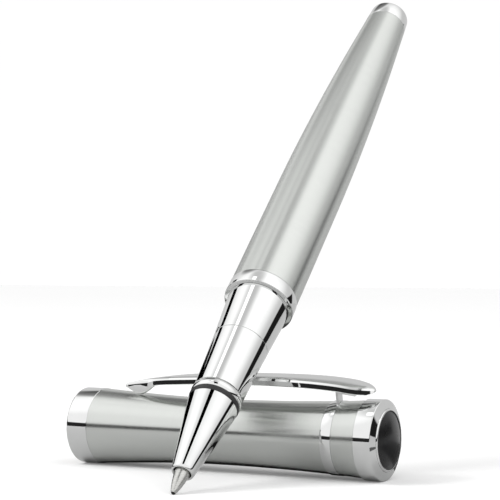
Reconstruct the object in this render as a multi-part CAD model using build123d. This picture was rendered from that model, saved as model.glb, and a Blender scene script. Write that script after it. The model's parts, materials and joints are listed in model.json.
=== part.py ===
"""A capped rollerball pen, laid out for writing: the pen stands on its ball and leans back over its cap.

Millimetres, +Z up. The origin is the centre of the cap's mouth and +X runs along the cap to its crown,
so the cap lies on its side with its axis level. The pen is built along +Z from its writing ball and then
leaned into place.
"""
import os
from math import cos, radians, sin

from build123d import *

# Pen, measured along its axis from the end of the writing ball
NOSE_START = 4.0
BEAD_START = 18.0
BEAD_END = 20.2
RING_START = 40.2
RING_END = 42.8
SHELL_END = 119.4
PEN_LENGTH = 123.2

BALL_R = 0.35
NOSE_R = 1.78
CONE_R = 4.03
BEAD_R = 4.15
RING_R = 5.85
END_RING_R = 3.9
WALL = 0.55

# Outsides as (distance along the pen, radius)
SLEEVE_OUTLINE = [(BEAD_END + 0.02, 3.97), (26.0, 4.24), (33.0, 4.65), (RING_START - 0.05, 5.18)]
ENGRAVED_LINES = [31.1, 36.2]
BARREL_OUTLINE = [
    (RING_END, 5.76),
    (56.0, 5.78),
    (75.0, 5.74),
    (90.0, 5.38),
    (105.0, 4.74),
    (SHELL_END, 3.89),
]

# Thread between section and barrel
LINER_BORE_R = 3.12
LINER_R = 3.62
LINER_END = 34.5
SPIGOT_END = 49.0
THREAD_R = 4.20
THREAD_BORE_R = 4.28
THREAD_PITCH = 1.0
THREAD_DEPTH = 0.16
INSERT_END = 52.5

# Refill: a 6 mm wide, 110.5 mm long rollerball refill
REFILL_R = 3.0
REFILL_BORE_R = 2.6
REFILL_NECK_R = 2.2
REFILL_TIP_R = 1.2
REFILL_NECK_START = 9.2
REFILL_SHOULDER = 15.6
REFILL_TUBE_START = 24.0
REFILL_END = 110.5
INK_START = 24.5
INK_END = 98.0
END_PLUG_START = 104.5
POINT_SHOULDER = 4.1
SPRING_START = 110.8
SPRING_END = 114.6
SPRING_R = 2.2
WIRE_R = 0.2
SEAT_R = 3.3
SEAT_END = 116.4

# Cap, measured along its axis from the mouth
MOUTH_RING_END = 4.0
BAND_START = 46.8
BAND_END = 48.7
CROWN_START = 52.65
CROWN_BEVEL = 55.5
CROWN_FACE = 56.0
MOUTH_R = 6.38
BAND_R = 5.9
CROWN_R = 6.38
MOUTH_BORE_R = 5.40
MOUTH_BUSH_R = 5.60
MOUTH_BORE_DEPTH = 9.4
TUBE_BORE_R = 4.96
LINING_BORE_R = 4.68
INNER_BORE_R = 4.35
INNER_DEPTH = 44.5
STONE_SEAT = 54.8
CABOCHON_R = 4.58
CABOCHON_RISE = 0.9
BEZEL_R = 4.96
SCREW_R = 1.25
SCREW_HEAD_R = 2.4

# Outsides as (distance along the cap, radius)
TUBE_OUTLINE = [
    (MOUTH_RING_END, 6.28),
    (16.0, 5.63),
    (26.0, 5.36),
    (38.0, 5.48),
    (BAND_START, 5.78),
]
UPPER_OUTLINE = [(BAND_END, 5.88), (CROWN_START, 6.14)]

# Clip, in the cap's frame: x along the cap, y across, z out from its axis
CLIP_TURN = 14.0
CLIP_TIP_X = 9.2
CLIP_CROWN_X = 41.0
CLIP_CROWN_Z = 9.95
CLIP_END_X = 54.7
CLIP_END_Z = 8.65
CLIP_THICKNESS = 1.25
CLIP_HALF_WIDTH = 2.4
TAB_X = 48.35
TAB_TOP_Z = 8.15
TAB_REACH = 3.1
TAB_THICKNESS = 0.4
TAB_HALF_WIDTH = 0.8

# How the pen leans: its tip, its height above the surface, and its turn from square to the cap
SURFACE_Z = -CROWN_R
TIP_X = 33.95
TIP_Y = -28.71
PEN_RISE = 41.97
PEN_TURN = 2.73

GAP = 0.02


def place_pen():
    """Location that takes +Z at the origin to the leaning pen."""
    flat = cos(radians(PEN_RISE))
    axis = (-flat * sin(radians(PEN_TURN)), flat * cos(radians(PEN_TURN)), sin(radians(PEN_RISE)))
    tip_z = SURFACE_Z + BALL_R - BALL_R * axis[2]
    return Plane(origin=(TIP_X, TIP_Y, tip_z), x_dir=(1, 0, 0), z_dir=axis).location


PEN = place_pen()
CAP = Location((0, 0, 0), (0, 90, 0))
CLIP = Location((0, 0, 0), (CLIP_TURN, 0, 0))


def turned(edges):
    """Revolve a closed outline of (radius, height) edges about Z."""
    return revolve(Plane.XZ * make_face(edges), Axis.Z)


def turned_points(points):
    """Revolve straight-sided outline of (radius, height) points about Z."""
    return turned(Polyline(*points, close=True).edges())


def tube(start, end, inner_r, outer_r):
    """Plain round tube along Z."""
    return turned_points([(inner_r, start), (outer_r, start), (outer_r, end), (inner_r, end)])


def dome_arc(radius, rim, rise):
    """Arc of a shallow dome from its rim to its top on the axis."""
    sphere_r = (radius**2 + rise**2) / (2 * rise)
    middle_r = radius / 2
    middle = rim + rise - sphere_r + (sphere_r**2 - middle_r**2) ** 0.5
    return ThreePointArc((radius, rim), (middle_r, middle), (0, rim + rise))


def rod(start, end, radius):
    """Plain round bar along Z."""
    return Pos(0, 0, start) * Cylinder(radius, end - start, align=(Align.CENTER, Align.CENTER, Align.MIN))


def flipped(stations, inset=0.0):
    """(distance, radius) stations as (radius, distance) outline points, set in by a wall."""
    return [(radius - inset, distance) for distance, radius in stations]


def curved_tube(stations, wall):
    """Tube whose outside follows smooth stations and whose wall is even."""
    outside = flipped(stations)
    inside = flipped(stations, wall)
    edges = [
        Spline(*outside),
        Line(outside[-1], inside[-1]),
        Spline(*inside),
        Line(inside[0], outside[0]),
    ]
    return turned(edges)


def grooved_outline(start, end, crest_r, root_r):
    """Points up a threaded wall drawn as rings, one to each pitch."""
    points = [(crest_r, start)]
    height = start + THREAD_PITCH / 2
    while height + THREAD_PITCH / 2 < end:
        points.append((crest_r, height - THREAD_PITCH / 4))
        points.append((root_r, height))
        points.append((crest_r, height + THREAD_PITCH / 4))
        height += THREAD_PITCH
    points.append((crest_r, end))
    return points


# ---- the section: the front of the pen that is held ----


def nose_cone():
    """Chromed cone round the refill's tip, with a rolled lip and a counterbore for the liner."""
    lip = 0.28
    bore_r = REFILL_TIP_R + 0.12
    neck_bore_r = REFILL_NECK_R + 0.12
    neck_start = REFILL_NECK_START - 0.1
    middle = ((NOSE_R + CONE_R) / 2 + 0.1, (NOSE_START + BEAD_START) / 2)
    liner_start = 16.6
    edges = [
        ThreePointArc((bore_r, NOSE_START + lip), (bore_r + 0.18, NOSE_START), (NOSE_R, NOSE_START + lip)),
        ThreePointArc((NOSE_R, NOSE_START + lip), middle, (CONE_R, BEAD_START - 0.02)),
        Polyline(
            (CONE_R, BEAD_START - 0.02),
            (LINER_R + GAP, BEAD_START - 0.02),
            (LINER_R + GAP, liner_start),
            (LINER_BORE_R, liner_start),
            (LINER_BORE_R, REFILL_SHOULDER - 0.05),
            (neck_bore_r, REFILL_SHOULDER - 0.05),
            (neck_bore_r, neck_start),
            (bore_r, neck_start),
            (bore_r, NOSE_START + lip),
        ),
    ]
    return turned(edges)


def grip_bead():
    """Polished bead where the fingers stop."""
    inner = LINER_R + GAP
    waist = BEAD_R - 0.3
    low = BEAD_START
    edges = [
        Line((inner, low), (waist, low)),
        ThreePointArc((waist, low), (BEAD_R, (low + BEAD_END) / 2), (waist, BEAD_END)),
        Line((waist, BEAD_END), (inner, BEAD_END)),
        Line((inner, BEAD_END), (inner, low)),
    ]
    return turned(edges)


def grip_sleeve():
    """Chromed sleeve flaring to the barrel, with two engraved lines."""
    outside = flipped(SLEEVE_OUTLINE)
    inner = LINER_R + GAP
    start = outside[0][1]
    end = outside[-1][1]
    edges = [
        Spline(*outside),
        Polyline(outside[-1], (inner, end), (inner, start), outside[0]),
    ]
    sleeve = turned(edges)
    for height in ENGRAVED_LINES:
        sleeve -= engraved_line(height)
    return sleeve


def engraved_line(height):
    """Ring-shaped cutter that leaves a fine line round the sleeve."""
    half = 0.07
    depth = 0.08
    (low, low_r), (high, high_r) = SLEEVE_OUTLINE[-2:]
    surface_r = low_r + (height - low) * (high_r - low_r) / (high - low)
    return tube(height - half, height + half, surface_r - depth, surface_r + 0.5)


def section_liner():
    """Brass tube that guides the refill and carries the nose, bead and sleeve."""
    return tube(16.65, LINER_END, LINER_BORE_R, LINER_R)


def thread_spigot():
    """Brass spigot behind the sleeve that screws into the barrel."""
    shank_end = RING_START - 0.03
    points = [(LINER_BORE_R, LINER_END + GAP), (LINER_R, LINER_END + GAP), (LINER_R, shank_end)]
    points += grooved_outline(shank_end, SPIGOT_END, THREAD_R, THREAD_R - THREAD_DEPTH)
    points.append((LINER_BORE_R, SPIGOT_END))
    return turned_points(points)


# ---- the barrel ----


def barrel_front_ring():
    """Chromed ring that closes the barrel against the section."""
    chamfer = 0.15
    bore = THREAD_BORE_R + 0.1
    points = [
        (bore, RING_START),
        (RING_R - chamfer, RING_START),
        (RING_R, RING_START + chamfer),
        (RING_R, RING_END - chamfer),
        (RING_R - chamfer, RING_END - 0.03),
        (bore, RING_END - 0.03),
    ]
    return turned_points(points)


def barrel_shell():
    """Brushed steel barrel, swelling a little and then tapering."""
    return curved_tube(BARREL_OUTLINE, WALL)


def thread_insert():
    """Brass insert inside the barrel's mouth that takes the spigot."""
    outer = BARREL_OUTLINE[0][1] - WALL - GAP
    start = RING_END + 0.05
    points = [(outer, start), (outer, INSERT_END), (THREAD_BORE_R, INSERT_END)]
    wall = grooved_outline(start, INSERT_END - 0.5, THREAD_BORE_R, THREAD_BORE_R + THREAD_DEPTH)
    points += reversed(wall)
    return turned_points(points)


def barrel_end_ring():
    """Chromed ring with a rounded back edge at the barrel's end."""
    bore = 2.95
    start = SHELL_END + GAP
    end_r = END_RING_R - 0.2
    round_start = PEN_LENGTH - 0.7
    edges = [
        Line((bore, start), (END_RING_R, start)),
        Line((END_RING_R, start), (end_r, round_start)),
        ThreePointArc((end_r, round_start), (end_r - 0.2, PEN_LENGTH - 0.2), (end_r - 0.7, PEN_LENGTH)),
        Line((end_r - 0.7, PEN_LENGTH), (bore, PEN_LENGTH)),
        Line((bore, PEN_LENGTH), (bore, start)),
    ]
    return turned(edges)


def barrel_end_plug():
    """Chromed plug whose shank holds the end ring on the shell."""
    shank_r = BARREL_OUTLINE[-1][1] - WALL - GAP
    head_r = 2.93
    head_start = SHELL_END + GAP
    head_end = PEN_LENGTH - 0.25
    head_rise = 0.2
    shank_start = SEAT_END + 0.1
    edges = [
        Line((0, shank_start), (shank_r, shank_start)),
        Line((shank_r, shank_start), (shank_r, SHELL_END)),
        Line((shank_r, SHELL_END), (head_r, head_start)),
        Line((head_r, head_start), (head_r, head_end)),
        dome_arc(head_r, head_end, head_rise),
        Line((0, head_end + head_rise), (0, shank_start)),
    ]
    return turned(edges)


def spring_seat():
    """Plastic seat for the spring, with a pilot inside the coils."""
    pilot_r = SPRING_R - 0.7
    pilot_start = SPRING_END - 1.5
    points = [
        (0, pilot_start),
        (pilot_r, pilot_start),
        (pilot_r, SPRING_END + GAP),
        (SEAT_R, SPRING_END + GAP),
        (SEAT_R, SEAT_END),
        (0, SEAT_END),
    ]
    return turned_points(points)


def refill_spring():
    """Light coil spring that keeps the refill pressed forward."""
    height = SPRING_END - SPRING_START - 2 * WIRE_R
    path = Helix(pitch=height / 4, height=height, radius=SPRING_R)
    wire = sweep(Plane(path @ 0, z_dir=path % 0) * Circle(WIRE_R), path=path)
    return Pos(0, 0, SPRING_START + WIRE_R) * wire


# ---- the refill ----


def writing_ball():
    """Carbide ball, free to turn in its socket."""
    return Pos(0, 0, BALL_R) * Sphere(BALL_R)


def refill_tip():
    """Nickel-silver point: a socket round the ball, a cone and a shank with the ink channel."""
    channel_r = 0.3
    mouth = 0.2
    socket = BALL_R + 0.02
    lip_r = (socket**2 - (BALL_R - mouth) ** 2) ** 0.5
    channel_start = BALL_R + (socket**2 - channel_r**2) ** 0.5
    edges = [
        ThreePointArc((lip_r, mouth), (socket, BALL_R), (channel_r, channel_start)),
        Polyline((channel_r, channel_start), (channel_r, 12.5), (1.0, 12.5), (1.0, REFILL_NECK_START)),
        Polyline((1.0, REFILL_NECK_START), (REFILL_TIP_R, REFILL_NECK_START), (REFILL_TIP_R, POINT_SHOULDER)),
        ThreePointArc((REFILL_TIP_R, POINT_SHOULDER), (0.9, POINT_SHOULDER / 2), (0.46, 0.42)),
        Line((0.46, 0.42), (lip_r, mouth)),
    ]
    return turned(edges)


def refill_holder():
    """Plastic nose of the refill, stepped to rest on the cone's inner shoulder."""
    seat = 2.0
    points = [
        (1.0 + GAP, REFILL_NECK_START + GAP),
        (REFILL_NECK_R, REFILL_NECK_START + GAP),
        (REFILL_NECK_R, REFILL_SHOULDER),
        (REFILL_R, REFILL_SHOULDER),
        (REFILL_R, REFILL_TUBE_START - GAP),
        (seat, REFILL_TUBE_START - GAP),
        (seat, 13.0),
        (1.0 + GAP, 13.0),
    ]
    return turned_points(points)


def ink_feed():
    """Comb of fins inside the refill's nose that buffers the ink."""
    core = 0.75
    fin_r = 1.9
    points = [(0.35, 13.2), (core, 13.2)]
    for number in range(10):
        low = 13.8 + number
        points += [(core, low), (fin_r, low), (fin_r, low + 0.5), (core, low + 0.5)]
    points += [(core, 23.8), (0.35, 23.8)]
    return turned_points(points)


def ink_wick():
    """Fibre rod that leads the ink from the tube to the ball."""
    return rod(2.0, 30.0, 0.27)


def refill_tube():
    """Drawn metal tube of the refill."""
    return tube(REFILL_TUBE_START, REFILL_END - 2.0, REFILL_BORE_R, REFILL_R)


def ink_fill():
    """The ink, round the end of its wick."""
    wick_hole = rod(REFILL_TUBE_START, 30.1, 0.3)
    return rod(INK_START, INK_END, REFILL_BORE_R - GAP) - wick_hole


def refill_end_plug():
    """Plug that closes the refill's back end."""
    step = REFILL_END - 2.0 + GAP
    inner = REFILL_BORE_R - GAP
    points = [
        (0, END_PLUG_START),
        (inner, END_PLUG_START),
        (inner, step),
        (REFILL_R, step),
        (REFILL_R, REFILL_END),
        (0, REFILL_END),
    ]
    return turned_points(points)


# ---- the cap ----


def cap_mouth_ring():
    """Chromed ring round the cap's mouth with a rounded front edge."""
    edge = 0.35
    bush_r = MOUTH_BUSH_R + GAP
    edges = [
        Line((MOUTH_BORE_R, 0), (MOUTH_R - edge, 0)),
        ThreePointArc((MOUTH_R - edge, 0), (MOUTH_R - edge * 0.29, edge * 0.29), (MOUTH_R, edge)),
        Polyline(
            (MOUTH_R, edge),
            (MOUTH_R - 0.05, MOUTH_RING_END - GAP),
            (bush_r, MOUTH_RING_END - GAP),
            (bush_r, 0.6),
            (MOUTH_BORE_R, 0.6),
            (MOUTH_BORE_R, 0),
        ),
    ]
    return turned(edges)


def cap_mouth_bush():
    """Brass bush inside the mouth that centres the section."""
    return tube(0.62, MOUTH_BORE_DEPTH, MOUTH_BORE_R, MOUTH_BUSH_R)


def cap_tube():
    """Brushed steel cap tube, drawn in at its waist."""
    outside = flipped(TUBE_OUTLINE)
    step = MOUTH_BORE_DEPTH + 0.1
    seat_r = MOUTH_BUSH_R + GAP
    inside = [
        outside[-1],
        (TUBE_BORE_R, BAND_START),
        (TUBE_BORE_R, step),
        (seat_r, step),
        (seat_r, MOUTH_RING_END),
        outside[0],
    ]
    return turned([Spline(*outside), Polyline(*inside)])


def cap_lining():
    """Brass lining that stiffens the tube."""
    return tube(MOUTH_BORE_DEPTH + 0.12, BAND_START - 0.2, LINING_BORE_R, TUBE_BORE_R - GAP)


def inner_cap():
    """Plastic inner cap that grips the bead and keeps the ink from drying."""
    outer = LINING_BORE_R - GAP
    end = BAND_START - 0.2
    start = MOUTH_BORE_DEPTH + 0.2
    points = [
        (INNER_BORE_R, start),
        (outer, start),
        (outer, end),
        (0, end),
        (0, INNER_DEPTH),
        (INNER_BORE_R, INNER_DEPTH),
    ]
    return turned_points(points)


def inner_cap_seal():
    """Soft disc at the bottom of the inner cap."""
    return rod(INNER_DEPTH - 0.8, INNER_DEPTH - GAP, INNER_BORE_R - GAP)


def clip_ring():
    """Chromed ring between the two lengths of tube, which carries the clip."""
    edge = 0.08
    bore = TUBE_BORE_R
    points = [
        (bore, BAND_START + GAP),
        (BAND_R - edge, BAND_START + GAP),
        (BAND_R, BAND_START + GAP + edge),
        (BAND_R + 0.04, BAND_END - edge),
        (BAND_R - edge, BAND_END - GAP),
        (bore, BAND_END - GAP),
    ]
    return turned_points(points)


def cap_core():
    """Brass core that the clip ring, upper sleeve and crown are clamped on."""
    return tube(BAND_START, CROWN_START - GAP, SCREW_R + GAP, TUBE_BORE_R - GAP)


def cap_upper_sleeve():
    """Short brushed sleeve between clip ring and crown."""
    outside = flipped(UPPER_OUTLINE)
    return turned_points([(TUBE_BORE_R, BAND_END), *outside, (TUBE_BORE_R, CROWN_START)])


def crown_ring():
    """Chromed crown with a broad, nearly flat bevel round the stone."""
    edge = 0.06
    start = CROWN_START + GAP
    floor = STONE_SEAT
    points = [
        (SCREW_R + GAP, start),
        (CROWN_R - edge, start),
        (CROWN_R, start + edge),
        (CROWN_R, CROWN_BEVEL),
        (BEZEL_R + GAP, CROWN_FACE),
        (BEZEL_R + GAP, floor),
        (SCREW_R + GAP, floor),
    ]
    return turned_points(points)


def crown_screw():
    """Screw that pulls the crown down on the core."""
    head_start = STONE_SEAT + GAP
    head_end = STONE_SEAT + 0.4
    start = BAND_START + 0.1
    points = [
        (0, start),
        (SCREW_R, start),
        (SCREW_R, head_start),
        (SCREW_HEAD_R, head_start),
        (SCREW_HEAD_R, head_end),
        (0, head_end),
    ]
    return turned_points(points)


def crown_bezel():
    """Bright rim round the stone."""
    inner = CABOCHON_R + GAP
    low = STONE_SEAT + GAP
    top = CROWN_FACE + 0.2
    edges = [
        Polyline((inner, top), (inner, low), (BEZEL_R, low), (BEZEL_R, top - 0.12)),
        ThreePointArc((BEZEL_R, top - 0.12), ((inner + BEZEL_R) / 2 + 0.06, top + 0.01), (inner, top)),
    ]
    return turned(edges)


def crown_cabochon():
    """Black domed stone."""
    seat = STONE_SEAT + 0.45
    rim = CROWN_FACE + 0.1
    edges = [
        Polyline((0, seat), (CABOCHON_R, seat), (CABOCHON_R, rim)),
        dome_arc(CABOCHON_R, rim, CABOCHON_RISE),
        Line((0, rim + CABOCHON_RISE), (0, seat)),
    ]
    return turned(edges)


# ---- the clip ----


def clip_side():
    """The clip from the side: a bowed blade with a turned-down foot."""
    thick = CLIP_THICKNESS
    tip = (CLIP_TIP_X, 7.75)
    foot = [(12.9, 6.2), (11.5, 5.95), (CLIP_TIP_X, 7.15)]
    crest = (CLIP_CROWN_X, CLIP_CROWN_Z)
    end = (CLIP_END_X, CLIP_END_Z)
    crest_under = (CLIP_CROWN_X, CLIP_CROWN_Z - thick)
    end_under = (CLIP_END_X - 0.2, CLIP_END_Z - thick + 0.1)
    heel = (15.2, 7.62)
    edges = [
        ThreePointArc(tip, (21.0, 9.5), crest),
        ThreePointArc(crest, (48.5, 9.57), end),
        Line(end, end_under),
        ThreePointArc(end_under, (48.5, 9.57 - thick), crest_under),
        ThreePointArc(crest_under, (26.0, 9.76 - thick), heel),
        Polyline(heel, *foot, tip),
    ]
    return extrude(Plane.XZ * make_face(edges), CLIP_HALF_WIDTH + 1, both=True)


def clip_plan():
    """The clip from above: a teardrop, narrow at the foot and round at the crown end."""
    side = [(CLIP_TIP_X, 0.35), (14.0, 0.85), (23.0, 1.72), (36.0, 2.02), (50.0, CLIP_HALF_WIDTH)]
    mirrored = [(x, -y) for x, y in side]
    end = (CLIP_END_X, 0)
    shoulder_x = CLIP_END_X - 1.35
    shoulder_y = CLIP_HALF_WIDTH * 0.72
    edges = [
        Spline(*side),
        ThreePointArc(side[-1], (shoulder_x, shoulder_y), end),
        ThreePointArc(end, (shoulder_x, -shoulder_y), mirrored[-1]),
        Spline(*reversed(mirrored)),
        Line(mirrored[0], side[0]),
    ]
    return extrude(make_face(edges), CLIP_CROWN_Z + 1)


def clip_blade():
    """Chromed spring clip."""
    return clip_side() & clip_plan()


def clip_tab():
    """Tongue that rises from the clip ring and folds under the blade."""
    root_r = BAND_R + 0.1
    low = root_r - 0.6
    half = TAB_THICKNESS / 2
    reach_x = TAB_X + TAB_REACH
    fold_drop = 0.5
    outline = Polyline(
        (TAB_X - half, low),
        (TAB_X - half, TAB_TOP_Z),
        (reach_x, TAB_TOP_Z - fold_drop),
        (reach_x, TAB_TOP_Z - fold_drop - TAB_THICKNESS),
        (TAB_X + half, TAB_TOP_Z - TAB_THICKNESS - 0.1),
        (TAB_X + half, low),
        close=True,
    )
    plate = extrude(Plane.XZ * make_face(outline), TAB_HALF_WIDTH, both=True)
    return plate - CAP * rod(TAB_X - 4, TAB_X + 6, root_r)


PEN_PIECES = {
    "nose_cone": nose_cone,
    "grip_bead": grip_bead,
    "grip_sleeve": grip_sleeve,
    "section_liner": section_liner,
    "thread_spigot": thread_spigot,
    "barrel_front_ring": barrel_front_ring,
    "barrel_shell": barrel_shell,
    "thread_insert": thread_insert,
    "barrel_end_ring": barrel_end_ring,
    "barrel_end_plug": barrel_end_plug,
    "spring_seat": spring_seat,
    "refill_spring": refill_spring,
    "writing_ball": writing_ball,
    "refill_tip": refill_tip,
    "refill_holder": refill_holder,
    "ink_feed": ink_feed,
    "ink_wick": ink_wick,
    "refill_tube": refill_tube,
    "ink_fill": ink_fill,
    "refill_end_plug": refill_end_plug,
}

CAP_PIECES = {
    "cap_mouth_ring": cap_mouth_ring,
    "cap_mouth_bush": cap_mouth_bush,
    "cap_tube": cap_tube,
    "cap_lining": cap_lining,
    "inner_cap": inner_cap,
    "inner_cap_seal": inner_cap_seal,
    "clip_ring": clip_ring,
    "cap_core": cap_core,
    "cap_upper_sleeve": cap_upper_sleeve,
    "crown_ring": crown_ring,
    "crown_screw": crown_screw,
    "crown_bezel": crown_bezel,
    "crown_cabochon": crown_cabochon,
}

CLIP_PIECES = {
    "clip_blade": clip_blade,
    "clip_tab": clip_tab,
}


def main():
    os.makedirs("parts", exist_ok=True)
    for location, pieces in ((PEN, PEN_PIECES), (CAP, CAP_PIECES), (CLIP, CLIP_PIECES)):
        for name, make in pieces.items():
            export_step(location * make(), f"parts/{name}.step")


main()
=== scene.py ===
"""Looks for the rollerball pen and its cap: camera, studio, materials and smooth visible shells."""

import json
import math

import bmesh
import bpy
from mathutils import Matrix, Vector


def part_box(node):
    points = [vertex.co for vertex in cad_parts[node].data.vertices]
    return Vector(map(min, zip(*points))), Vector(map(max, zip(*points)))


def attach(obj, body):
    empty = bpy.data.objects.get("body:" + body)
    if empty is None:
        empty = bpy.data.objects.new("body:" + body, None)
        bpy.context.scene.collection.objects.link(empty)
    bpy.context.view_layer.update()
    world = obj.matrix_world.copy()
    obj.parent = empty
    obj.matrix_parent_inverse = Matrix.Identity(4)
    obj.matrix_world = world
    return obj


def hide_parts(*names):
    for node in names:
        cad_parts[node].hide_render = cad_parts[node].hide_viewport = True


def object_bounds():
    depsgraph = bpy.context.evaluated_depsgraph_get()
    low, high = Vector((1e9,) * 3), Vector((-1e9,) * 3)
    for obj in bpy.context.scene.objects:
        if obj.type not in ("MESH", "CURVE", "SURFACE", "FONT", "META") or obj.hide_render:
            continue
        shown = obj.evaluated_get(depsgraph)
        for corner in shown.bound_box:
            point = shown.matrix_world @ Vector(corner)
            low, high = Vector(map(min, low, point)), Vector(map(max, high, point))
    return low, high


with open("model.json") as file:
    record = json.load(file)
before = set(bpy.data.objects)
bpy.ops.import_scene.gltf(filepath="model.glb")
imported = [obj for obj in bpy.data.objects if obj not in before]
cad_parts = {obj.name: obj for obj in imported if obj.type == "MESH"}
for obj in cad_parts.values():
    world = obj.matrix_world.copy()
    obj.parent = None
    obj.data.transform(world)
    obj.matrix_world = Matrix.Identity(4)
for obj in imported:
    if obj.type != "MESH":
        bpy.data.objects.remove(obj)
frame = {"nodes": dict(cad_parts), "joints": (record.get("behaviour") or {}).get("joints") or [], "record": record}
cad_low, cad_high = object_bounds()

MM = 0.001
SCENE = bpy.context.scene

# ---------------------------------------------------------------- places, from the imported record


def joint(name):
    return next(j for j in frame["joints"] if j["name"] == name)


PEN_AXIS = Vector(joint("barrel_turn")["axis"]).normalized()
BALL_R = (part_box("writing_ball")[1].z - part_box("writing_ball")[0].z) / 2
BALL = Vector(joint("ball_spin")["pos_m"])
PEN_START = BALL - PEN_AXIS * BALL_R
FLOOR_Z = cad_low.z
CLIP_AXIS = Vector(joint("clip_flex")["axis"])
CLIP_TURN = math.atan2(CLIP_AXIS.z, CLIP_AXIS.y)


def frame_along(origin, axis):
    """Matrix that takes +Z at the origin to the axis at a point."""
    turn = axis.to_track_quat("Z", "Y").to_matrix().to_4x4()
    return Matrix.Translation(origin) @ turn


PEN = frame_along(PEN_START, PEN_AXIS)
CAP = frame_along(Vector((0, 0, 0)), Vector((1, 0, 0)))
CLIP = Matrix.Rotation(CLIP_TURN, 4, "X")


# ---------------------------------------------------------------- mesh helpers


def catmull(stations, steps):
    """Smooth line through (distance, radius) stations."""
    pts = [stations[0], *stations, stations[-1]]
    line = []
    for i in range(1, len(pts) - 2):
        a, b, c, d = pts[i - 1], pts[i], pts[i + 1], pts[i + 2]
        span = c[0] - b[0]
        slope_b = (c[1] - a[1]) / (c[0] - a[0])
        slope_c = (d[1] - b[1]) / (d[0] - b[0])
        for k in range(steps):
            t = k / steps
            h = (2 * t**3 - 3 * t**2 + 1, t**3 - 2 * t**2 + t, -2 * t**3 + 3 * t**2, t**3 - t**2)
            r = h[0] * b[1] + h[1] * span * slope_b + h[2] * c[1] + h[3] * span * slope_c
            line.append((b[0] + span * t, r))
    line.append(stations[-1])
    return line


def arc(start, end, bulge, steps=8):
    """Arc from start to end that bulges to its left by a share of its length."""
    (x0, y0), (x1, y1) = start, end
    out = []
    for k in range(steps + 1):
        t = k / steps
        swell = 4 * t * (1 - t) * bulge
        out.append((x0 + (x1 - x0) * t - (y1 - y0) * swell, y0 + (y1 - y0) * t + (x1 - x0) * swell))
    return out


def lathe(name, outline, matrix, body, material, replaces=(), segments=256, sharp=32):
    """Turned piece: a closed outline of (distance, radius) in mm, spun about the matrix's Z.
    Its UVs run once round the piece and then along it in metres."""
    mesh = bpy.data.meshes.new(name)
    bm = bmesh.new()
    uv = bm.loops.layers.uv.new("UVMap")
    rings = []
    for along, radius in outline:
        if radius < 1e-6:
            rings.append([bm.verts.new((0, 0, along * MM))])
            continue
        ring = []
        for k in range(segments):
            a = 2 * math.pi * k / segments
            ring.append(bm.verts.new((radius * MM * math.cos(a), radius * MM * math.sin(a), along * MM)))
        rings.append(ring)
    count = len(rings)
    closed = len(rings[0]) > 1 and len(rings[-1]) > 1
    for i in range(count if closed else count - 1):
        low, high = rings[i], rings[(i + 1) % count]
        for k in range(segments):
            n = (k + 1) % segments
            corners = [low[k % len(low)], low[n % len(low)], high[n % len(high)], high[k % len(high)]]
            unique = list(dict.fromkeys(corners))
            if len(unique) > 2:
                face = bm.faces.new(unique)
                ahead = (low[n % len(low)], high[n % len(high)])
                for loop in face.loops:
                    turn = (k + (1 if loop.vert in ahead else 0)) / segments
                    loop[uv].uv = (turn, loop.vert.co.z)
    bmesh.ops.recalc_face_normals(bm, faces=bm.faces)
    for edge in bm.edges:
        if len(edge.link_faces) == 2:
            edge.smooth = edge.calc_face_angle(0) < math.radians(sharp)
    for face in bm.faces:
        face.smooth = True
    bm.transform(matrix)
    bm.to_mesh(mesh)
    bm.free()
    piece = bpy.data.objects.new(name, mesh)
    SCENE.collection.objects.link(piece)
    mesh.materials.append(material)
    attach(piece, body)
    if replaces:
        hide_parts(*replaces)
    return piece


# ---------------------------------------------------------------- materials


def new_material(name):
    material = bpy.data.materials.new(name)
    material.use_nodes = True
    tree = material.node_tree
    tree.nodes.clear()
    out = tree.nodes.new("ShaderNodeOutputMaterial")
    shader = tree.nodes.new("ShaderNodeBsdfPrincipled")
    tree.links.new(shader.outputs[0], out.inputs["Surface"])
    return material, tree, shader


def stretched_noise(tree, scale, detail=2.0, roughness=0.5, place=(0, 0, 0), space="Object"):
    """Noise stretched by a scale along each axis of a space."""
    coords = tree.nodes.new("ShaderNodeTexCoord")
    mapping = tree.nodes.new("ShaderNodeMapping")
    mapping.inputs["Scale"].default_value = scale
    mapping.inputs["Location"].default_value = place
    noise = tree.nodes.new("ShaderNodeTexNoise")
    noise.inputs["Scale"].default_value = 1.0
    noise.inputs["Detail"].default_value = detail
    noise.inputs["Roughness"].default_value = roughness
    tree.links.new(coords.outputs[space], mapping.inputs["Vector"])
    tree.links.new(mapping.outputs[0], noise.inputs["Vector"])
    return noise.outputs[0]


def ramp(tree, value, stops):
    """Colour ramp through (place, colour) stops."""
    node = tree.nodes.new("ShaderNodeValToRGB")
    elements = node.color_ramp.elements
    while len(elements) < len(stops):
        elements.new(0.5)
    for element, (place, colour) in zip(elements, stops):
        element.position = place
        element.color = (*colour, 1)
    tree.links.new(value, node.inputs[0])
    return node.outputs[0]


def span(tree, value, low, high):
    """Value from 0..1 carried to low..high."""
    node = tree.nodes.new("ShaderNodeMapRange")
    node.inputs["To Min"].default_value = low
    node.inputs["To Max"].default_value = high
    tree.links.new(value, node.inputs["Value"])
    return node.outputs[0]


def bump(tree, height, strength, distance, shader):
    node = tree.nodes.new("ShaderNodeBump")
    node.inputs["Strength"].default_value = strength
    node.inputs["Distance"].default_value = distance
    tree.links.new(height, node.inputs["Height"])
    tree.links.new(node.outputs[0], shader.inputs["Normal"])


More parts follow.
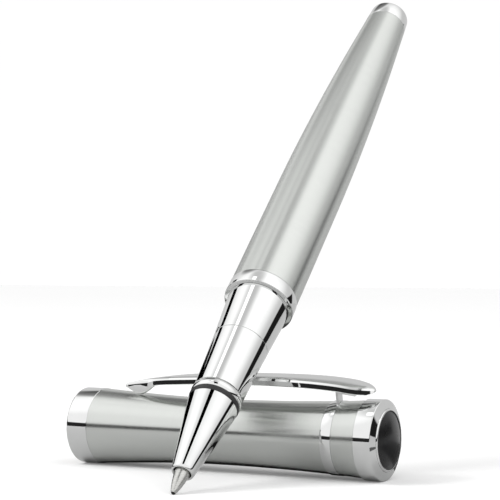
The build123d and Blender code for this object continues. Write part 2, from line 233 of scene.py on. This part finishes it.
def brushed_steel():
    """Satin steel with fine scratches that run round the piece."""
    material, tree, shader = new_material("brushed_steel")
    fine = stretched_noise(tree, (9, 30000, 1), 3, 0.7, space="UV")
    broad = stretched_noise(tree, (4, 3500, 1), 3, 0.6, (3, 1, 0), "UV")
    both = tree.nodes.new("ShaderNodeMath")
    both.operation = "ADD"
    tree.links.new(fine, both.inputs[0])
    tree.links.new(broad, both.inputs[1])
    tone = ramp(tree, both.outputs[0], [(0.55, (0.625, 0.64, 0.62)), (1.0, (0.675, 0.69, 0.668))])
    tree.links.new(tone, shader.inputs["Base Color"])
    tree.links.new(span(tree, broad, 0.24, 0.28), shader.inputs["Roughness"])
    shader.inputs["Metallic"].default_value = 1.0
    shader.inputs["Anisotropic"].default_value = 0.9
    shader.inputs["Anisotropic Rotation"].default_value = 0.25
    tangent = tree.nodes.new("ShaderNodeTangent")
    tangent.direction_type = "UV_MAP"
    tangent.uv_map = "UVMap"
    tree.links.new(tangent.outputs[0], shader.inputs["Tangent"])
    bump(tree, fine, 0.05, 0.000005, shader)
    return material


def chrome(name="chrome", colour=(0.80, 0.805, 0.80), rough=(0.02, 0.05)):
    """Polished plate with the faintest haze and handling marks."""
    material, tree, shader = new_material(name)
    haze = stretched_noise(tree, (220, 220, 220), 4, 0.6)
    darker = tuple(0.965 * c for c in colour)
    tree.links.new(ramp(tree, haze, [(0.35, darker), (0.65, colour)]), shader.inputs["Base Color"])
    tree.links.new(span(tree, haze, *rough), shader.inputs["Roughness"])
    shader.inputs["Metallic"].default_value = 1.0
    wave = stretched_noise(tree, (70, 70, 70), 1, 0.4)
    bump(tree, wave, 0.04, 0.00003, shader)
    return material


def black_stone():
    """Glossy black cabochon with a deep, faintly clouded body."""
    material, tree, shader = new_material("black_stone")
    cloud = stretched_noise(tree, (420, 420, 420), 4, 0.6)
    tone = ramp(tree, cloud, [(0.4, (0.003, 0.003, 0.0035)), (0.7, (0.009, 0.009, 0.010))])
    tree.links.new(tone, shader.inputs["Base Color"])
    tree.links.new(span(tree, cloud, 0.24, 0.32), shader.inputs["Roughness"])
    shader.inputs["Specular IOR Level"].default_value = 0.35
    shader.inputs["Coat Weight"].default_value = 0.15
    shader.inputs["Coat Roughness"].default_value = 0.12
    bump(tree, cloud, 0.03, 0.00002, shader)
    return material


def plain_metal(name, dark, light, rough):
    """Turned metal with a fine lathe finish."""
    material, tree, shader = new_material(name)
    turned = stretched_noise(tree, (1500, 1500, 9000), 3, 0.6)
    tree.links.new(ramp(tree, turned, [(0.3, dark), (0.7, light)]), shader.inputs["Base Color"])
    tree.links.new(span(tree, turned, *rough), shader.inputs["Roughness"])
    shader.inputs["Metallic"].default_value = 1.0
    bump(tree, turned, 0.15, 0.00001, shader)
    return material


def plastic(name, dark, light, rough):
    """Moulded plastic with a fine even grain."""
    material, tree, shader = new_material(name)
    grain = stretched_noise(tree, (2600, 2600, 2600), 3, 0.6)
    tree.links.new(ramp(tree, grain, [(0.3, dark), (0.7, light)]), shader.inputs["Base Color"])
    tree.links.new(span(tree, grain, *rough), shader.inputs["Roughness"])
    bump(tree, grain, 0.12, 0.00002, shader)
    return material


STEEL = brushed_steel()
CHROME = chrome()
STONE = black_stone()
POINT = plain_metal("nickel_silver", (0.52, 0.52, 0.50), (0.66, 0.66, 0.64), (0.22, 0.34))
BRASS = plain_metal("brass", (0.62, 0.45, 0.20), (0.78, 0.60, 0.30), (0.22, 0.36))
CARBIDE = plain_metal("carbide", (0.03, 0.03, 0.03), (0.07, 0.07, 0.07), (0.15, 0.30))
SPRING = plain_metal("spring_steel", (0.40, 0.40, 0.40), (0.55, 0.55, 0.54), (0.20, 0.35))
BLACK = plastic("black_plastic", (0.012, 0.012, 0.012), (0.025, 0.025, 0.026), (0.35, 0.50))
NATURAL = plastic("natural_plastic", (0.62, 0.62, 0.58), (0.76, 0.76, 0.72), (0.30, 0.45))
INK = plastic("ink", (0.004, 0.005, 0.02), (0.010, 0.012, 0.045), (0.05, 0.12))
RUBBER = plastic("seal_rubber", (0.03, 0.03, 0.03), (0.06, 0.06, 0.06), (0.55, 0.75))
FINISHES = {
    "brushed_steel": STEEL,
    "chrome": CHROME,
    "black_stone": STONE,
    "nickel_silver": POINT,
    "brass": BRASS,
    "carbide": CARBIDE,
    "spring_steel": SPRING,
    "black_plastic": BLACK,
    "natural_plastic": NATURAL,
    "ink": INK,
    "seal_rubber": RUBBER,
}


def finish_cad_nodes():
    """Each CAD node that stays gets the procedural finish of its material slot."""
    for part in frame["record"]["subparts"]:
        node = frame["nodes"][part["node"]]
        node.data.materials.clear()
        node.data.materials.append(FINISHES[part["material_slot"]])


finish_cad_nodes()


# ---------------------------------------------------------------- the pen


def nose():
    lip = arc((4.28, 1.32), (4.28, 1.78), 0.61, 14)
    side = catmull([(4.28, 1.78), (7.5, 2.36), (11.0, 2.93), (14.5, 3.49), (17.7, 3.985)], 10)
    inside = [
        (17.7, 3.64),
        (16.6, 3.64),
        (16.6, 3.12),
        (15.55, 3.12),
        (15.55, 2.32),
        (9.1, 2.32),
        (9.1, 1.32),
    ]
    outline = [*lip, *side[1:], *inside]
    lathe("nose_cone_chrome", outline, PEN, "section", CHROME, ["nose_cone"])


def seam_ring():
    """Thin black ring in the joint between the cone and the bead."""
    outline = [(17.74, 3.66), (17.74, 3.96), *arc((17.8, 4.0), (18.62, 4.08), 0.06, 6), (18.62, 3.66)]
    lathe("nose_seam_ring", outline, PEN, "section", BLACK)


def bead():
    outline = [(18.64, 3.64), *arc((18.64, 3.95), (20.2, 3.85), 0.15, 20), (20.2, 3.64)]
    lathe("grip_bead_chrome", outline, PEN, "section", CHROME, ["grip_bead"])


def engraved(line, places, half=0.10, depth=0.11):
    """The line with small V-shaped grooves cut in it."""
    out = []
    for (x0, r0), (x1, r1) in zip(line, line[1:]):
        out.append((x0, r0))
        for place in places:
            if x0 < place - 2 * half and place + 2 * half < x1:
                r = r0 + (r1 - r0) * (place - x0) / (x1 - x0)
                floor = half * 0.6
                out += [(place - half, r), (place - floor, r - depth)]
                out += [(place + floor, r - depth), (place + half, r)]
    out.append(line[-1])
    return out


def sleeve():
    line = catmull([(20.22, 3.97), (26.0, 4.24), (33.0, 4.65), (40.15, 5.18)], 9)
    outline = [*engraved(line, [31.1, 36.2]), (40.15, 3.64), (20.22, 3.64)]
    lathe("grip_sleeve_chrome", outline, PEN, "section", CHROME, ["grip_sleeve"], sharp=24)


def front_ring():
    outline = [
        (40.2, 4.38),
        (40.2, 5.70),
        *arc((40.2, 5.70), (40.35, 5.85), 0.18, 5)[1:],
        (42.62, 5.85),
        *arc((42.62, 5.85), (42.77, 5.70), 0.18, 5)[1:],
        (42.77, 4.38),
    ]
    lathe("barrel_front_ring_chrome", outline, PEN, "thread_carrier", CHROME, ["barrel_front_ring"])


def barrel():
    line = catmull([(42.8, 5.76), (56.0, 5.78), (75.0, 5.74), (90.0, 5.38), (105.0, 4.74), (119.4, 3.89)], 14)
    inside = [(x, r - 0.55) for x, r in reversed(line)]
    lathe("barrel_shell_brushed", [*line, *inside], PEN, "barrel", STEEL, ["barrel_shell"])


def end_ring():
    side = [(119.42, 2.95), (119.42, 3.84), *arc((119.42, 3.84), (119.48, 3.9), 0.18, 4)[1:], (122.5, 3.7)]
    back = arc((122.5, 3.7), (123.18, 3.2), 0.10, 8)[1:]
    outline = [*side, *back, (123.2, 2.95)]
    lathe("barrel_end_ring_chrome", outline, PEN, "barrel", CHROME, ["barrel_end_ring"])


def refill_point():
    cone = catmull([(0.42, 0.46), (2.1, 0.9), (4.1, 1.2)], 8)
    outline = [
        (0.2, 0.338),
        *cone,
        (9.2, 1.2),
        (9.2, 1.0),
        (12.5, 1.0),
        (12.5, 0.3),
        (0.58, 0.3),
        *arc((0.58, 0.3), (0.2, 0.338), 0.1, 6)[1:-1],
    ]
    lathe("refill_tip_turned", outline, PEN, "refill", POINT, ["refill_tip"])


# ---------------------------------------------------------------- the cap


def mouth_ring():
    outline = [
        (0.0, 5.4),
        (0.0, 6.03),
        *arc((0.0, 6.03), (0.35, 6.38), 0.2, 8)[1:],
        (3.92, 6.34),
        (3.98, 6.28),
        (3.98, 5.62),
        (0.6, 5.62),
        (0.6, 5.4),
    ]
    lathe("cap_mouth_ring_chrome", outline, CAP, "cap", CHROME, ["cap_mouth_ring"])


def tube():
    line = catmull([(4.0, 6.28), (16.0, 5.63), (26.0, 5.36), (38.0, 5.48), (46.8, 5.78)], 14)
    inside = [(46.8, 4.96), (9.5, 4.96), (9.5, 5.62), (4.0, 5.62)]
    lathe("cap_tube_brushed", [*line, *inside], CAP, "cap", STEEL, ["cap_tube"])


def band():
    outline = [
        (46.82, 4.96),
        (46.82, 5.82),
        *arc((46.82, 5.82), (46.9, 5.9), 0.18, 4)[1:],
        (48.62, 5.94),
        *arc((48.62, 5.94), (48.68, 5.86), 0.18, 4)[1:],
        (48.68, 4.96),
    ]
    lathe("clip_ring_chrome", outline, CAP, "cap", CHROME, ["clip_ring"])


def upper_sleeve():
    line = catmull([(48.7, 5.88), (50.6, 5.99), (52.65, 6.14)], 6)
    outline = [(48.7, 4.96), *line, (52.65, 4.96)]
    lathe("cap_upper_sleeve_brushed", outline, CAP, "cap", STEEL, ["cap_upper_sleeve"])


def crown():
    outline = [
        (52.67, 1.27),
        (52.67, 6.32),
        (52.73, 6.38),
        (55.42, 6.38),
        *arc((55.42, 6.38), (55.54, 6.26), 0.18, 5)[1:],
        (56.0, 4.98),
        (54.8, 4.98),
        (54.8, 1.27),
    ]
    lathe("crown_ring_chrome", outline, CAP, "cap", CHROME, ["crown_ring"])


def bezel():
    outline = [(54.82, 4.6), (54.82, 4.96), (56.08, 4.96), *arc((56.08, 4.96), (56.2, 4.6), 0.22, 10)[1:]]
    lathe("crown_bezel_chrome", outline, CAP, "cap", CHROME, ["crown_bezel"])


def stone():
    sphere_r = (4.58**2 + 0.9**2) / (2 * 0.9)
    top = 57.0
    dome = []
    for k in range(25):
        r = 4.58 * (1 - k / 24)
        dome.append((top - sphere_r + math.sqrt(sphere_r**2 - r * r), r))
    outline = [(55.25, 0.0), (55.25, 4.58), *dome]
    lathe("crown_cabochon_polished", outline, CAP, "cap", STONE, ["crown_cabochon"])


# ---------------------------------------------------------------- the clip


def through(points, x):
    """Value at x of a line of (x, value) points."""
    for (x0, z0), (x1, z1) in zip(points, points[1:]):
        if x0 <= x <= x1:
            return z0 + (z1 - z0) * (x - x0) / (x1 - x0)
    return points[0][1] if x < points[0][0] else points[-1][1]


CLIP_TOP = catmull(
    [(9.2, 7.72), (14.0, 8.72), (21.0, 9.48), (31.0, 9.92), (41.0, 9.94), (48.5, 9.56), (54.7, 8.64)], 12
)
CLIP_UNDER = catmull(
    [
        (9.2, 7.17),
        (11.5, 5.98),
        (12.9, 6.24),
        (15.2, 7.63),
        (20.0, 8.14),
        (26.0, 8.52),
        (41.0, 8.71),
        (48.5, 8.33),
        (54.5, 7.51),
        (54.7, 7.47),
    ],
    12,
)
CLIP_HALF = catmull([(9.2, 0.33), (14.0, 0.84), (23.0, 1.70), (36.0, 2.02), (46.0, 2.33), (50.5, 2.38)], 12)
CLIP_ROUND = 50.5
CLIP_LAST = 54.7


def clip_section(x):
    """Middle height, half height and half width of the blade at x; both halves close in a round end."""
    top, under = through(CLIP_TOP, x), through(CLIP_UNDER, x)
    half, deep = through(CLIP_HALF, x), (top - under) / 2
    if x > CLIP_ROUND:
        half *= math.sqrt(max(1 - ((x - CLIP_ROUND) / (CLIP_LAST - CLIP_ROUND)) ** 2, 0.0004))
    if x > CLIP_LAST - 1.6:
        deep *= math.sqrt(max(1 - ((x - CLIP_LAST + 1.6) / 1.6) ** 2, 0.0025))
    return (top + under) / 2, deep, half


def blade_outline(half, deep):
    """Closed cross-section of the blade: a low crown, then sloping side facets over a rounded belly."""
    belly, lean, crown = min(0.34, 0.45 * half), min(0.20, 0.25 * half), min(0.55, 0.6 * half)
    side = [
        (-0.5 * (half - belly), -deep),
        (-(half - belly), -0.94 * deep),
        (-(half - 0.3 * belly), -0.82 * deep),
        (-half, -0.62 * deep),
        (-(half - lean), 0.45 * deep),
        (-(half - crown), 0.86 * deep),
        (-0.66 * (half - crown), 0.94 * deep),
        (-0.33 * (half - crown), 0.985 * deep),
    ]
    return [(0, -deep), *side, (0, deep), *((-y, z) for y, z in reversed(side))]


def clip_blade():
    """Bowed, pillow-sectioned blade lofted from its side and plan lines."""
    mesh = bpy.data.meshes.new("clip_blade_chrome")
    bm = bmesh.new()
    places = sorted({round(x, 4) for x, _ in (*CLIP_TOP, *CLIP_UNDER, *CLIP_HALF) if x < 52.9})
    places += [52.9 + (CLIP_LAST - 52.9) * math.sin(math.radians(5.5 * k)) for k in range(17)]
    rings = []
    for x in places:
        middle, deep, half = clip_section(x)
        section = blade_outline(half, deep)
        rings.append([bm.verts.new((x * MM, y * MM, (middle + z) * MM)) for y, z in section])
    around = len(rings[0])
    for low, high in zip(rings, rings[1:]):
        for k in range(around):
            n = (k + 1) % around
            bm.faces.new((low[k], low[n], high[n], high[k]))
    bm.faces.new(list(reversed(rings[0])))
    bm.faces.new(rings[-1])
    bmesh.ops.recalc_face_normals(bm, faces=bm.faces)
    for face in bm.faces:
        face.smooth = len(face.verts) == 4
    for edge in bm.edges:
        edge.smooth = edge.calc_face_angle(0) < math.radians(24)
    bm.transform(CLIP)
    bm.to_mesh(mesh)
    bm.free()
    piece = bpy.data.objects.new("clip_blade_chrome", mesh)
    SCENE.collection.objects.link(piece)
    mesh.materials.append(CHROME)
    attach(piece, "clip")
    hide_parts("clip_blade")


for make in (nose, seam_ring, bead, sleeve, front_ring, barrel, end_ring, refill_point):
    make()
for make in (mouth_ring, tube, band, upper_sleeve, crown, bezel, stone):
    make()
clip_blade()

# ---------------------------------------------------------------- studio

CAMERA_AT = Vector((0.158546, -0.240460, 0.027390))
LOOK = Vector((-0.46675, 0.88435, 0.00872))


def add_camera():
    data = bpy.data.cameras.new("camera")
    data.sensor_width = 36.0
    data.lens = 120.38
    data.clip_start = 0.01
    data.clip_end = 20.0
    camera = bpy.data.objects.new("camera", data)
    camera.location = CAMERA_AT
    camera.rotation_mode = "QUATERNION"
    camera.rotation_quaternion = LOOK.to_track_quat("-Z", "Y")
    SCENE.collection.objects.link(camera)
    SCENE.camera = camera


def only_seen_by(obj, camera=False, glossy=False, diffuse=False, shadow=False):
    obj.visible_camera = camera
    obj.visible_glossy = glossy
    obj.visible_diffuse = diffuse
    obj.visible_shadow = shadow
    obj.visible_transmission = glossy


def stage_mesh(name, verts, faces, colour, glow=0.0):
    mesh = bpy.data.meshes.new(name)
    mesh.from_pydata(verts, [], faces)
    obj = bpy.data.objects.new(name, mesh)
    material, _, shader = new_material(name)
    shader.inputs["Base Color"].default_value = (*colour, 1)
    shader.inputs["Roughness"].default_value = 0.9
    shader.inputs["Specular IOR Level"].default_value = 0.0
    shader.inputs["Emission Color"].default_value = (1, 1, 1, 1)
    shader.inputs["Emission Strength"].default_value = glow
    mesh.materials.append(material)
    SCENE.collection.objects.link(obj)
    return obj


def add_floor():
    """Pale floor for the camera, and a duller one under it for what the metal mirrors."""
    for name, side, drop, albedo, glow in (
        ("floor", 2.0, 0.00001, 0.9, 0.10),
        ("floor_mirrored", 0.4, 0.00003, 0.56, 0.0),
    ):
        square = [(-side, -side), (side, -side), (side, side), (-side, side)]
        verts = [(x, y, FLOOR_Z - drop) for x, y in square]
        floor = stage_mesh(name, verts, [(0, 1, 2, 3)], (albedo,) * 3, glow)
        if name == "floor":
            only_seen_by(floor, camera=True)
        else:
            only_seen_by(floor, glossy=True, diffuse=True)


def add_key():
    """Large soft lamp up on the left that lights the floor and lets the shadows fall back to the right."""
    data = bpy.data.lights.new("key", "AREA")
    data.shape = "DISK"
    data.size = 0.28
    data.energy = 2.5
    lamp = bpy.data.objects.new("key", data)
    lamp.location = (-0.50, -0.42, 0.60)
    lamp.rotation_mode = "QUATERNION"
    lamp.rotation_quaternion = (-lamp.location).to_track_quat("-Z", "Y")
    SCENE.collection.objects.link(lamp)
    lamp.visible_glossy = False
    lamp.visible_camera = False


def add_backdrop():
    """White dome that only the camera sees."""
    mesh = bpy.data.meshes.new("backdrop")
    bm = bmesh.new()
    bmesh.ops.create_uvsphere(bm, u_segments=48, v_segments=24, radius=2.9)
    bm.to_mesh(mesh)
    bm.free()
    dome = bpy.data.objects.new("backdrop", mesh)
    material, _, shader = new_material("backdrop")
    shader.inputs["Base Color"].default_value = (0, 0, 0, 1)
    shader.inputs["Emission Color"].default_value = (1, 1, 1, 1)
    shader.inputs["Emission Strength"].default_value = 1.0
    mesh.materials.append(material)
    SCENE.collection.objects.link(dome)
    only_seen_by(dome, camera=True)


def seen_in_pen(along, radius, turn, flare, distance):
    """Point that the camera sees mirrored in the pen, at a turn round it from its near side."""
    base = PEN_START + PEN_AXIS * along * MM
    near = CAMERA_AT - base
    near = (near - near.dot(PEN_AXIS) * PEN_AXIS).normalized()
    side = PEN_AXIS.cross(near)
    if side.dot(LOOK.cross(Vector((0, 0, 1)))) < 0:
        side = -side
    t, f = math.radians(turn), math.radians(flare)
    out = near * math.cos(t) + side * math.sin(t)
    normal = out * math.cos(f) - PEN_AXIS * math.sin(f)
    at = base + out * radius * MM
    ray = (at - CAMERA_AT).normalized()
    return at + (ray - 2 * ray.dot(normal) * normal) * distance


def card(name, stops, width, glow=0.0):
    """Strip through points, turned to face the pen; black unless it glows."""
    focus = PEN_START + PEN_AXIS * 0.03
    verts = []
    for i, p in enumerate(stops):
        ahead = stops[min(i + 1, len(stops) - 1)] - stops[max(i - 1, 0)]
        across = ahead.cross(p - focus).normalized() * width / 2
        verts += [tuple(p - across), tuple(p + across)]
    faces = [(2 * i, 2 * i + 1, 2 * i + 3, 2 * i + 2) for i in range(len(stops) - 1)]
    strip = stage_mesh(name, verts, faces, (0.0, 0.0, 0.0), glow)
    only_seen_by(strip, glossy=True)


CARD_FAR = 0.50


def add_cards():
    card(
        "card_left",
        [
            seen_in_pen(5, 2.0, -84, 9.2, CARD_FAR),
            seen_in_pen(16, 3.7, -67, 9.2, CARD_FAR),
            seen_in_pen(22, 4.0, -60, 3.6, CARD_FAR),
            seen_in_pen(38, 5.0, -60, 3.6, CARD_FAR),
        ],
        0.14,
    )
    card(
        "card_top",
        [
            seen_in_pen(4, 1.8, -13, 14.0, CARD_FAR),
            seen_in_pen(12, 3.1, -15, 9.2, CARD_FAR),
            seen_in_pen(17.5, 4.0, -15, 5.5, CARD_FAR),
        ],
        0.13,
    )
    card(
        "card_white",
        [
            seen_in_pen(21, 4.0, -24, 5.5, CARD_FAR),
            seen_in_pen(30, 4.5, -24, 3.6, CARD_FAR),
            seen_in_pen(39, 5.1, -24, 2.5, CARD_FAR),
        ],
        0.085,
        1.7,
    )
    # Painted shade: two dark strips lie on the floor and are seen only in the metal. They stand in for the cap's
    # shadow behind it and the shade under it, so the cap mirrors a darker floor there.
    strip = FLOOR_Z + 0.00005
    for name, ends, sides, tone in (
        ("painted_shadow_behind_cap", (-0.05, 0.09), (0.009, 0.05), 0.10),
        ("painted_shade_under_cap", (0.003, 0.052), (-0.0016, 0.009), 0.06),
    ):
        (x0, x1), (y0, y1) = ends, sides
        verts = [(x0, y0, strip), (x1, y0, strip), (x1, y1, strip), (x0, y1, strip)]
        only_seen_by(stage_mesh(name, verts, [(0, 1, 2, 3)], (tone,) * 3), glossy=True)


def blob(tree, direction, towards, wide, tight, amount):
    """Light that swells towards a direction."""
    dot = tree.nodes.new("ShaderNodeVectorMath")
    dot.operation = "DOT_PRODUCT"
    dot.inputs[1].default_value = Vector(towards).normalized()
    tree.links.new(direction, dot.inputs[0])
    fade = tree.nodes.new("ShaderNodeMapRange")
    fade.interpolation_type = "SMOOTHSTEP"
    fade.inputs["From Min"].default_value = math.cos(math.radians(wide))
    fade.inputs["From Max"].default_value = math.cos(math.radians(tight))
    fade.inputs["To Max"].default_value = amount
    tree.links.new(dot.outputs["Value"], fade.inputs["Value"])
    return fade.outputs[0]


def total(tree, values):
    result = values[0]
    for value in values[1:]:
        add = tree.nodes.new("ShaderNodeMath")
        tree.links.new(result, add.inputs[0])
        tree.links.new(value, add.inputs[1])
        result = add.outputs[0]
    return result


def times(tree, a, b):
    product = tree.nodes.new("ShaderNodeMath")
    product.operation = "MULTIPLY"
    tree.links.new(a, product.inputs[0])
    tree.links.new(b, product.inputs[1])
    return product.outputs[0]


GAP_DARK = 8.0
GAP_LIT = 9.5


def gap(tree, direction):
    """Dark gap between the table and the tent, all round but behind the object."""
    parts = tree.nodes.new("ShaderNodeSeparateXYZ")
    tree.links.new(direction, parts.inputs[0])
    above = tree.nodes.new("ShaderNodeMapRange")
    above.interpolation_type = "SMOOTHSTEP"
    above.inputs["From Min"].default_value = math.sin(math.radians(GAP_DARK))
    above.inputs["From Max"].default_value = math.sin(math.radians(GAP_LIT))
    tree.links.new(parts.outputs["Z"], above.inputs["Value"])
    open_at = blob(tree, direction, (-0.19, 0.98, 0.0), 42, 37, 1.0)
    lit = tree.nodes.new("ShaderNodeMath")
    lit.operation = "MAXIMUM"
    tree.links.new(above.outputs[0], lit.inputs[0])
    tree.links.new(open_at, lit.inputs[1])
    floor = tree.nodes.new("ShaderNodeMath")
    floor.operation = "MAXIMUM"
    floor.inputs[1].default_value = 0.02
    tree.links.new(lit.outputs[0], floor.inputs[0])
    return floor.outputs[0]


def add_world():
    """Soft tent of light, paler in front, with a bright panel up on the right and dull ones overhead."""
    world = bpy.data.worlds.new("studio")
    world.use_nodes = True
    tree = world.node_tree
    tree.nodes.clear()
    out = tree.nodes.new("ShaderNodeOutputWorld")
    back = tree.nodes.new("ShaderNodeBackground")
    coords = tree.nodes.new("ShaderNodeTexCoord")
    direction = coords.outputs["Generated"]
    base = tree.nodes.new("ShaderNodeValue")
    base.outputs[0].default_value = 0.66
    lights = [
        base.outputs[0],
        blob(tree, direction, (0, -1, 0.25), 135, 80, 0.41),
        blob(tree, direction, (0.537, 0.239, 0.809), 40, 10, 0.30),
        blob(tree, direction, (-0.10, -0.05, 0.99), 24, 8, -0.40),
        blob(tree, direction, (-0.447, 0.463, 0.766), 21, 9, -0.70),
        blob(tree, direction, (-0.558, -0.260, 0.788), 30, 10, 0.22),
    ]
    strength = total(tree, lights)
    strength = times(tree, strength, gap(tree, direction))
    back.inputs["Color"].default_value = (1, 1, 1, 1)
    tree.links.new(strength, back.inputs["Strength"])
    tree.links.new(back.outputs[0], out.inputs["Surface"])
    world.cycles_visibility.camera = False
    SCENE.world = world


add_camera()
add_floor()
add_key()
add_backdrop()
add_cards()
add_world()
SCENE.view_settings.view_transform = "Standard"
